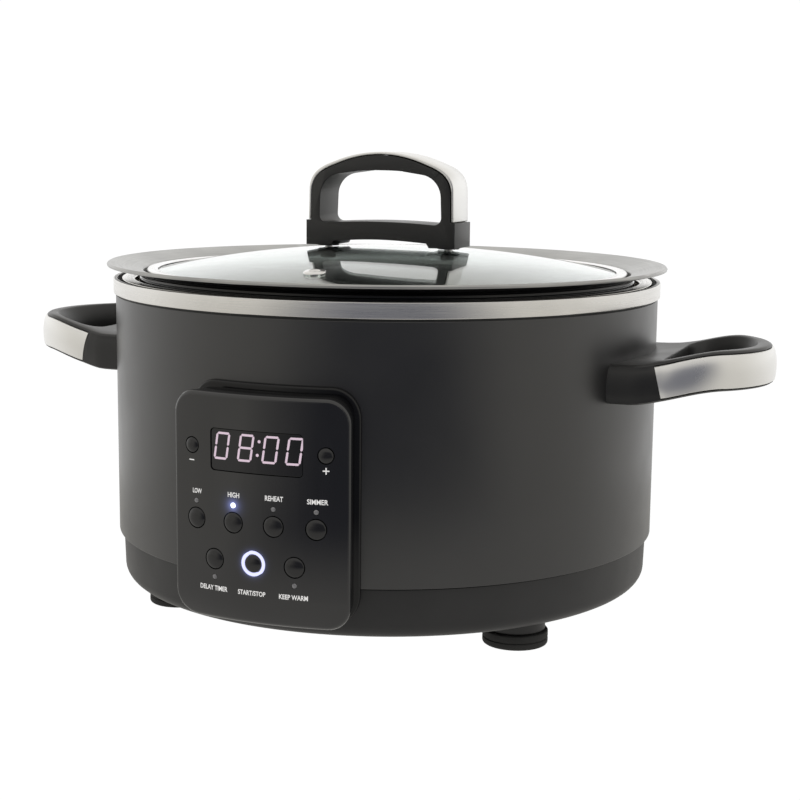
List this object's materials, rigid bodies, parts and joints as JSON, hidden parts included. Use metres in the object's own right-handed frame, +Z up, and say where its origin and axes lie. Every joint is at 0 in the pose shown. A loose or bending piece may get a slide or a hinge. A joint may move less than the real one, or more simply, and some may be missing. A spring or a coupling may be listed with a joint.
{
  "type": "slow cooker",
  "caption": "Round slow cooker with a lift-out pan, glass lid, loop side handles and a curved front panel with a digital display and push buttons.",
  "frame": {"origin": "on the surface it stands on, under the middle of the round body", "axes": "+Z up, -Y out of the control panel, the side handles on the X axis"},
  "size_m": [0.432, 0.3384, 0.2504],
  "materials": {
    "shell_paint": "matte dark grey paint",
    "base_plastic": "matte moulded",
    "foot_rubber": "matte",
    "band_steel": "brushed round",
    "seal_rubber": "matte",
    "well_metal": "satin",
    "hardware_steel": "plated",
    "board_laminate": "solder resist",
    "black_plastic": "moulded",
    "pan_metal": "dark satin ceramic coating",
    "lid_glass": "clear tempered",
    "lid_steel": "polished",
    "handle_plastic": "satin moulded",
    "trim_chrome": "polished",
    "fascia_gloss": "high gloss",
    "pod_plastic": "gloss moulded",
    "lens_gloss": "smoked",
    "light_plastic": "diffusing",
    "button_gloss": "gloss",
    "pin_brass": "plated"
  },
  "bodies": {
    "housing": {"outer_shell": "shell_paint", "base_tray": "base_plastic", "steel_band": "band_steel", "rim_gasket": "seal_rubber", "heating_well": "well_metal", "heater_band": "well_metal", "thermal_fuse": "hardware_steel", "sensor_bracket": "hardware_steel", "sensor_spring": "hardware_steel", "power_board": "board_laminate", "heater_relay": "black_plastic", "side_handle_left": "handle_plastic", "side_handle_right": "handle_plastic", "handle_trim_left": "trim_chrome", "handle_trim_right": "trim_chrome", "control_fascia": "fascia_gloss", "control_pod": "pod_plastic", "display_lens": "lens_gloss", "control_board": "board_laminate", "display_module": "black_plastic", "start_light_ring": "light_plastic", "inlet_housing": "base_plastic", "mains_inlet": "black_plastic", "inlet_pin_line": "pin_brass", "inlet_pin_neutral": "pin_brass", "inlet_pin_earth": "pin_brass", "foot_pad_front_right": "foot_rubber", "foot_pad_rear_right": "foot_rubber", "foot_pad_rear_left": "foot_rubber", "foot_pad_front_left": "foot_rubber", "handle_bolt_left_front": "hardware_steel", "handle_bolt_left_rear": "hardware_steel", "handle_bolt_right_front": "hardware_steel", "handle_bolt_right_rear": "hardware_steel", "low_light": "light_plastic", "high_light": "light_plastic", "reheat_light": "light_plastic", "simmer_light": "light_plastic", "delay_light": "light_plastic", "warm_light": "light_plastic"},
    "sensor": {"pot_sensor": "well_metal"},
    "pan": {"pan": "pan_metal"},
    "lid": {"lid_glass": "lid_glass", "lid_ring": "lid_steel", "vent_eyelet": "lid_steel", "lid_handle": "handle_plastic", "lid_handle_trim": "trim_chrome", "lid_handle_screw_left": "hardware_steel", "lid_handle_screw_right": "hardware_steel", "lid_handle_seal_left": "seal_rubber", "lid_handle_seal_right": "seal_rubber"},
    "minus_key": {"minus_button": "button_gloss"},
    "plus_key": {"plus_button": "button_gloss"},
    "low_key": {"low_button": "button_gloss"},
    "high_key": {"high_button": "button_gloss"},
    "reheat_key": {"reheat_button": "button_gloss"},
    "simmer_key": {"simmer_button": "button_gloss"},
    "delay_key": {"delay_button": "button_gloss"},
    "start_key": {"start_button": "button_gloss"},
    "warm_key": {"warm_button": "button_gloss"}
  },
  "joints": [
    {"name": "pan_lift", "type": "slide", "parent": "housing", "child": "pan", "axis": [0, 0, 1], "range_m": [0, 0.14]},
    {"name": "lid_lift", "type": "slide", "parent": "pan", "child": "lid", "axis": [0, 0, 1], "range_m": [0, 0.1]},
    {"name": "sensor_press", "type": "slide", "parent": "housing", "child": "sensor", "axis": [0, 0, 1], "range_m": [-0.002, 0], "stiffness_N_per_m": 900, "springref_m": 0.0015, "deforming": ["sensor_spring"]},
    {"name": "minus_press", "type": "slide", "parent": "housing", "child": "minus_key", "axis": [0.2078, 0.9782, 0], "range_m": [0, 0.0008], "stiffness_N_per_m": 1200},
    {"name": "plus_press", "type": "slide", "parent": "housing", "child": "plus_key", "axis": [-0.2078, 0.9782, 0], "range_m": [0, 0.0008], "stiffness_N_per_m": 1200},
    {"name": "low_press", "type": "slide", "parent": "housing", "child": "low_key", "axis": [0.1939, 0.981, 0], "range_m": [0, 0.0008], "stiffness_N_per_m": 1200},
    {"name": "high_press", "type": "slide", "parent": "housing", "child": "high_key", "axis": [0.0693, 0.9976, 0], "range_m": [0, 0.0008], "stiffness_N_per_m": 1200},
    {"name": "reheat_press", "type": "slide", "parent": "housing", "child": "reheat_key", "axis": [-0.0563, 0.9984, 0], "range_m": [0, 0.0008], "stiffness_N_per_m": 1200},
    {"name": "simmer_press", "type": "slide", "parent": "housing", "child": "simmer_key", "axis": [-0.1811, 0.9835, 0], "range_m": [0, 0.0008], "stiffness_N_per_m": 1200},
    {"name": "delay_press", "type": "slide", "parent": "housing", "child": "delay_key", "axis": [0.1319, 0.9913, 0], "range_m": [0, 0.0008], "stiffness_N_per_m": 1200},
    {"name": "start_press", "type": "slide", "parent": "housing", "child": "start_key", "axis": [0.0065, 1, 0], "range_m": [0, 0.0008], "stiffness_N_per_m": 1200},
    {"name": "warm_press", "type": "slide", "parent": "housing", "child": "warm_key", "axis": [-0.1189, 0.9929, 0], "range_m": [0, 0.0008], "stiffness_N_per_m": 1200}
  ]
}
